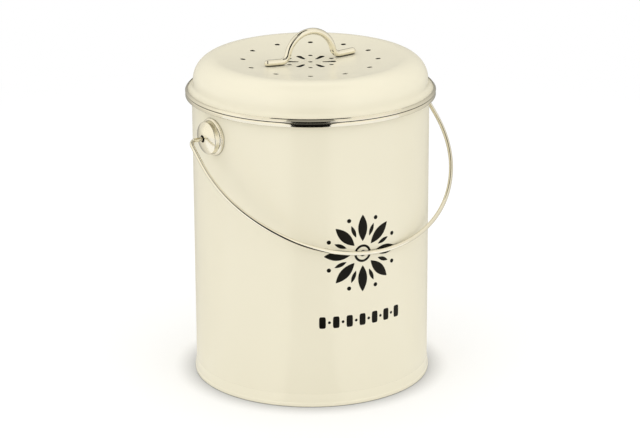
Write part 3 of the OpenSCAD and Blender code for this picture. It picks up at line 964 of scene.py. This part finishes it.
# The print's rosette: petals each way round, their start, end and half width, and its dots and eye
ROSETTE_TURNS = 8
LONG_PETAL = (9.5 * MM, 30 * MM, 3.7 * MM)
SHORT_PETAL = (14 * MM, 24 * MM, 1.5 * MM)
PETAL_FULLNESS = 0.85
OUTER_DOT_AT = 28.5 * MM
OUTER_DOT_R = 1.6 * MM
EYE_RING = (5.0 * MM, 6.8 * MM)
EYE_DOT_R = 2.4 * MM
# The row under it: number of bars, their pitch, half width and half height, and the dots between them
ROW_BARS = 7
ROW_PITCH = 10.4 * MM
BAR_HALVES = (2.5 * MM, 4.6 * MM)
BAR_POWER = 5
ROW_DOT_R = 1.1 * MM
# Thickness of the print as a share of its height over the paint: the rest lies in the paint
INK_SEAT = 1.6


class CADDY_OT_print(bpy.types.Operator):
    """Print a plain rosette and a row of bars on the front of the bucket"""

    bl_idname = "caddy.print"
    bl_label = "Print"

    def execute(self, context):
        size = context.scene.caddy_sizes
        rosette = [self.ring(*EYE_RING), self.dot(0, 0, EYE_DOT_R)]
        for i in range(ROSETTE_TURNS):
            turn = FULL * i / ROSETTE_TURNS
            between = turn + HALF / ROSETTE_TURNS
            rosette.append(self.lozenge(*LONG_PETAL, turn))
            rosette.append(self.lozenge(*SHORT_PETAL, between))
            spot = OUTER_DOT_AT * np.array([np.cos(between), np.sin(between)])
            rosette.append(self.dot(*spot, OUTER_DOT_R))
        bars = (np.arange(ROW_BARS) - (ROW_BARS - 1) / 2) * ROW_PITCH
        row = [self.pill(x, 0, *BAR_HALVES, BAR_POWER) for x in bars]
        row += [self.dot(x + ROW_PITCH / 2, 0, ROW_DOT_R) for x in bars[:-1]]
        for name, motifs, height in (
                ("print_rosette", rosette, size.rosette_z), ("print_row", row, size.row_z)):
            grids = [(self.wrap(size, flat, height), False, around) for flat, around in motifs]
            made = make_mesh(name, grids)
            thick = made.modifiers.new("ink", "SOLIDIFY")
            thick.thickness, thick.offset = INK_SEAT * size.ink_t, -1
            place(made, "bucket", "cream_paint", print_ink())
        return {"FINISHED"}

    def lozenge(self, start, stop, half_w, turn):
        """A pointed bar from start to stop: its half width is half_w times a power of the sine of the way."""
        s, t = np.meshgrid(np.linspace(0, 1, 25), np.linspace(-1, 1, 9), indexing="ij")
        x, y = start + (stop - start) * s, t * half_w * np.sin(HALF * s) ** PETAL_FULLNESS
        c, d = np.cos(turn), np.sin(turn)
        return np.stack([x * c - y * d, x * d + y * c], axis=-1), False

    def pill(self, x, y, half_w, half_h, power):
        """A filled superellipse: |u / half_w| and |v / half_h|, each to the power, sum to 1 at its edge."""
        around = np.linspace(0, FULL, 40, endpoint=False)
        s, a = np.meshgrid(np.linspace(0, 1, 6), around, indexing="ij")
        u = s * half_w * np.sign(np.cos(a)) * np.abs(np.cos(a)) ** (2 / power)
        v = s * half_h * np.sign(np.sin(a)) * np.abs(np.sin(a)) ** (2 / power)
        return np.stack([x + u, y + v], axis=-1), True

    def dot(self, x, y, radius):
        """A filled circle, the superellipse of power 2."""
        return self.pill(x, y, radius, radius, 2)

    def ring(self, inner, outer):
        """A flat ring: s (cos a, sin a), with s going from the inner radius to the outer."""
        around = np.linspace(0, FULL, 64, endpoint=False)
        s, a = np.meshgrid(np.linspace(inner, outer, 4), around, indexing="ij")
        return np.stack([s * np.cos(a), s * np.sin(a)], axis=-1), True

    def wrap(self, size, flat, height):
        """Lays flat points (u, v) on the wall: the angle is the print's + u / R, and z the height + v."""
        a, radius = size.print_angle + flat[..., 0] / size.body_r, size.body_r + size.ink_t
        return np.stack([radius * np.cos(a), radius * np.sin(a), height + flat[..., 1]], axis=-1)


# ---------------------------------------------------------------- stage

# The camera stands in front and to the left, a little above the lid: degrees, metres and a lens in mm
CAMERA_AZIMUTH = -36.0
CAMERA_DISTANCE = 1.8302
CAMERA_HEIGHT = 0.7214
CAMERA_PITCH = -18.232
CAMERA_YAW = -0.213
CAMERA_ROLL = -0.197
CAMERA_LENS = 140.6
CAMERA_SENSOR = 36.0

# Light on the object from all round, and the floor's white as it lights the object and as it is seen
WORLD_LEVEL = 1.03
FLOOR_SHADE = 0.70
FLOOR_SEEN = 1.01
# Distances between which the floor fades into the background, and how far it lies under the caddy
FLOOR_FADE = (0.35, 0.9)
FLOOR_DROP = 0.05 * MM
# The painted contact shadow where the caddy stands: how far it reaches, and its darkest share of the floor's
# white
CONTACT_REACH = 0.019
CONTACT_LOW = 0.25

# Lamps: name, azimuth, elevation, distance, side and watts. They are aimed at the caddy's middle
LAMP_AIM = Vector((0, 0, 0.12))
LAMPS = (
    ("key", -88.0, 8.0, 2.2, 1.6, 7.8),
    ("fill", 14.0, 8.0, 2.4, 1.4, 7.5),
)

# Cards: name, first and last azimuth, lowest and highest elevation, distance, first and last level, and how
# much wider the top is than the foot
CARD_TINT = (1.0, 0.97, 0.88, 1.0)
CARDS = (
    ("card_front", -53.0, -19.0, 0.0, 38.0, 2.5, 0.006, 0.006, 0.6),
    ("card_front_high", -66.0, -6.0, 38.0, 73.0, 2.55, 0.33, 0.33, 0.0),
    ("card_soft_left", -140.0, -53.0, 0.0, 48.0, 2.6, 1.05, 1.10, 0.0),
    ("card_soft_right", -19.0, 38.0, 0.0, 48.0, 2.6, 1.10, 1.05, 0.0),
    ("card_over", -216.0, 144.0, 48.0, 73.0, 2.7, 0.95, 0.95, 0.0),
    ("card_zenith", -216.0, 144.0, 73.0, 90.0, 2.7, 0.02, 0.02, 0.0),
    ("card_left", -216.0, -140.0, 0.0, 48.0, 2.8, 0.40, 1.00, 0.0),
    ("card_right", 38.0, 144.0, 0.0, 48.0, 2.8, 1.00, 0.40, 0.0),
)
# Floor cards: name, first and last azimuth, nearest and farthest distance, first and last level. They lie
# just over the floor
FLOOR_CARD_DROP = 0.02 * MM
FLOOR_CARDS = (
    ("card_floor_front", -53.0, -19.0, 0.096, 2.6, 0.006, 0.006),
    ("card_floor_left", -216.0, -120.0, 0.1, 12.0, 0.40, 0.90),
    ("card_floor_right", 48.0, 144.0, 0.1, 12.0, 0.90, 0.40),
)


def direction(azimuth, elevation):
    """A unit vector at azimuth a from -Y and at elevation e: (sin a cos e, -cos a cos e, sin e)."""
    a, e = np.radians(azimuth), np.radians(elevation)
    return np.stack([np.sin(a) * np.cos(e), -np.cos(a) * np.cos(e), np.sin(e)], axis=-1)


def eye_rays(tree):
    """1 for rays of the camera, also by way of steel or glass, and 0 for light on its way to the object."""
    path = add(tree, "ShaderNodeLightPath").outputs
    seen = maths(tree, "MAXIMUM", path["Is Camera Ray"], path["Is Glossy Ray"])
    return maths(tree, "MAXIMUM", seen, path["Is Transmission Ray"])


def stage_material(name):
    """A material without its Principled shader: (material, its tree, the socket for its surface)."""
    made = bpy.data.materials.new(name)
    made.use_nodes = True
    tree = made.node_tree
    tree.nodes.remove(tree.nodes["Principled BSDF"])
    return made, tree, tree.nodes["Material Output"].inputs["Surface"]


class CADDY_OT_stage(bpy.types.Operator):
    """Set up the camera, the white surround and floor, two soft lamps and the cards that steel reflects"""

    bl_idname = "caddy.stage"
    bl_label = "Stage"

    def execute(self, context):
        self.camera(context.scene)
        self.world(context.scene)
        self.floor()
        self.lamps(context.scene)
        self.cards()
        context.scene.view_settings.view_transform = "Standard"
        return {"FINISHED"}

    def camera(self, scene):
        """The photograph's view: the camera's turns are azimuth and yaw about Z, pitch, and a slight roll."""
        data = bpy.data.cameras.new("camera")
        data.lens, data.sensor_width, data.sensor_fit = CAMERA_LENS, CAMERA_SENSOR, "HORIZONTAL"
        made = bpy.data.objects.new("camera", data)
        scene.collection.objects.link(made)
        spot = Vector(direction(CAMERA_AZIMUTH, 0)) * CAMERA_DISTANCE + Vector((0, 0, CAMERA_HEIGHT))
        turn = (
            Matrix.Rotation(np.radians(CAMERA_AZIMUTH + CAMERA_YAW), 4, "Z")
            @ Matrix.Rotation(np.radians(90 + CAMERA_PITCH), 4, "X")
            @ Matrix.Rotation(np.radians(CAMERA_ROLL), 4, "Z"))
        made.matrix_world = Matrix.Translation(spot) @ turn
        scene.camera = made

    def world(self, scene):
        """White where the camera, steel or glass sees it, and a softer white as light on the object."""
        world = bpy.data.worlds.new("studio")
        scene.world = world
        world.use_nodes = True
        tree = world.node_tree
        back = tree.nodes["Background"]
        back.inputs["Color"].default_value = (1, 1, 1, 1)
        tree.links.new(ramp(tree, eye_rays(tree), 0.0, 1.0, WORLD_LEVEL, 1.0), back.inputs["Strength"])

    def floor(self):
        """A wide white disc that keeps the object's shadow, with a painted contact shadow where the caddy
        stands, and fades into the white background.
        """
        rings = np.concatenate([np.linspace(0, 1, 11), np.linspace(1.5, 12, 12)])
        section = np.stack([rings, np.full(len(rings), -FLOOR_DROP)], axis=1)
        made = make_mesh("floor", [(lathe(section), True, False)])
        material, tree, surface = stage_material("White floor")
        grain = use(tree, soft_clouds, Scale=6.0, Low=0.0, High=1.0)["Value"]
        shade = add(tree, "ShaderNodeMix", {
            0: grain, 6: (*[FLOOR_SHADE * 0.995] * 3, 1), 7: (*[FLOOR_SHADE] * 3, 1)}, data_type="RGBA")
        matte = add(tree, "ShaderNodeBsdfDiffuse", {"Color": shade.outputs[2]})
        # Painted contact shadow: the floor's colour darkens where the caddy closes it in
        near = add(tree, "ShaderNodeAmbientOcclusion", {"Distance": CONTACT_REACH}, samples=16).outputs["AO"]
        contact = ramp(tree, near, 0.0, 1.0, FLOOR_SEEN * CONTACT_LOW, FLOOR_SEEN)
        bright = add(tree, "ShaderNodeBsdfDiffuse", {"Color": contact})
        white = add(tree, "ShaderNodeEmission", {"Color": (1, 1, 1, 1), "Strength": 1.0})
        away = add(tree, "ShaderNodeVectorMath", {0: on_object(tree)}, operation="LENGTH").outputs["Value"]
        fade = ramp(tree, away, *FLOOR_FADE, kind="SMOOTHSTEP")
        seen = add(tree, "ShaderNodeMixShader", {0: fade, 1: bright.outputs[0], 2: white.outputs[0]})
        both = add(tree, "ShaderNodeMixShader", {0: eye_rays(tree), 1: matte.outputs[0], 2: seen.outputs[0]})
        tree.links.new(both.outputs[0], surface)
        made.data.materials.append(material)

    def lamps(self, scene):
        """Two large soft boxes, the key at the left and a fill at the front right, both low."""
        for name, azimuth, elevation, distance, side, power in LAMPS:
            data = bpy.data.lights.new(name, "AREA")
            data.shape, data.size, data.energy = "SQUARE", side, power
            made = bpy.data.objects.new(name, data)
            scene.collection.objects.link(made)
            made.location = Vector(direction(azimuth, elevation)) * distance + LAMP_AIM
            made.rotation_euler = (LAMP_AIM - made.location).to_track_quat("-Z", "Y").to_euler()
            made.visible_glossy = made.visible_camera = False

    def cards(self):
        """Pale, grey and black cards, seen only in the steel and in the paint's gloss.

        A card is a patch of a sphere between two azimuths and two elevations, or a patch of the floor
        between two azimuths and two distances.
        """
        for name, start, stop, low, high, distance, first, last, spread in CARDS:
            across, up = np.meshgrid(np.linspace(-1, 1, 33), np.linspace(0, 1, 13), indexing="ij")
            azimuth = (start + stop) / 2 + (stop - start) / 2 * across * (1 + spread * up)
            points = direction(azimuth, low + (high - low) * up) * distance
            self.card(name, start, stop, first, last, points)
        for name, start, stop, near, far, first, last in FLOOR_CARDS:
            azimuth, reach = np.meshgrid(
                np.linspace(start, stop, 33), np.linspace(near, far, 9), indexing="ij")
            points = direction(azimuth, 0 * azimuth) * reach[..., None] - [0, 0, FLOOR_CARD_DROP]
            self.card(name, start, stop, first, last, points)

    def card(self, name, start, stop, first, last, points):
        """The card's light runs from first to last along its azimuth, with its middle turned to +X."""
        material, tree, surface = stage_material(name)
        middle, half = float(np.radians((start + stop) / 2 - 90)), float(np.radians((stop - start) / 2))
        split = add(tree, "ShaderNodeSeparateXYZ", {"Vector": spun(tree, on_object(tree), -middle)}).outputs
        level = ramp(tree, maths(tree, "ARCTAN2", split["Y"], split["X"]), -half, half, first, last)
        glow = add(tree, "ShaderNodeEmission", {"Color": CARD_TINT, "Strength": level})
        tree.links.new(glow.outputs[0], surface)
        made = make_mesh(name, [(points, False, False)])
        made.data.materials.append(material)
        made.visible_camera = made.visible_diffuse = made.visible_shadow = made.visible_transmission = False


class CADDY_PT_panel(bpy.types.Panel):
    """Lists the caddy's pieces, sizes and colours in the sidebar"""

    bl_idname = "CADDY_PT_panel"
    bl_label = "Compost caddy"
    bl_space_type = "VIEW_3D"
    bl_region_type = "UI"
    bl_category = "Caddy"

    def draw(self, context):
        for made in OPERATORS:
            self.layout.operator(made.bl_idname)
        for group in (context.scene.caddy_colours, context.scene.caddy_sizes):
            box = self.layout.box()
            for name in group.__annotations__:
                box.prop(group, name)


OPERATORS = (
    CADDY_OT_bucket, CADDY_OT_rim_ring, CADDY_OT_ears, CADDY_OT_bail, CADDY_OT_lid, CADDY_OT_lid_edge,
    CADDY_OT_lid_handle, CADDY_OT_filter, CADDY_OT_print, CADDY_OT_stage)
CLASSES = (CaddySizes, CaddyColours, *OPERATORS, CADDY_PT_panel)


def register():
    """Registers the classes, and gives the scene its sizes and colours."""
    for made in CLASSES:
        bpy.utils.register_class(made)
    bpy.types.Scene.caddy_sizes = bpy.props.PointerProperty(type=CaddySizes)
    bpy.types.Scene.caddy_colours = bpy.props.PointerProperty(type=CaddyColours)


def unregister():
    """Undoes what register does, in the opposite order."""
    del bpy.types.Scene.caddy_colours
    del bpy.types.Scene.caddy_sizes
    for made in reversed(CLASSES):
        bpy.utils.unregister_class(made)


def main():
    register()
    for made in OPERATORS:
        group, name = made.bl_idname.split(".")
        getattr(getattr(bpy.ops, group), name)()


if __name__ == "__main__":
    main()
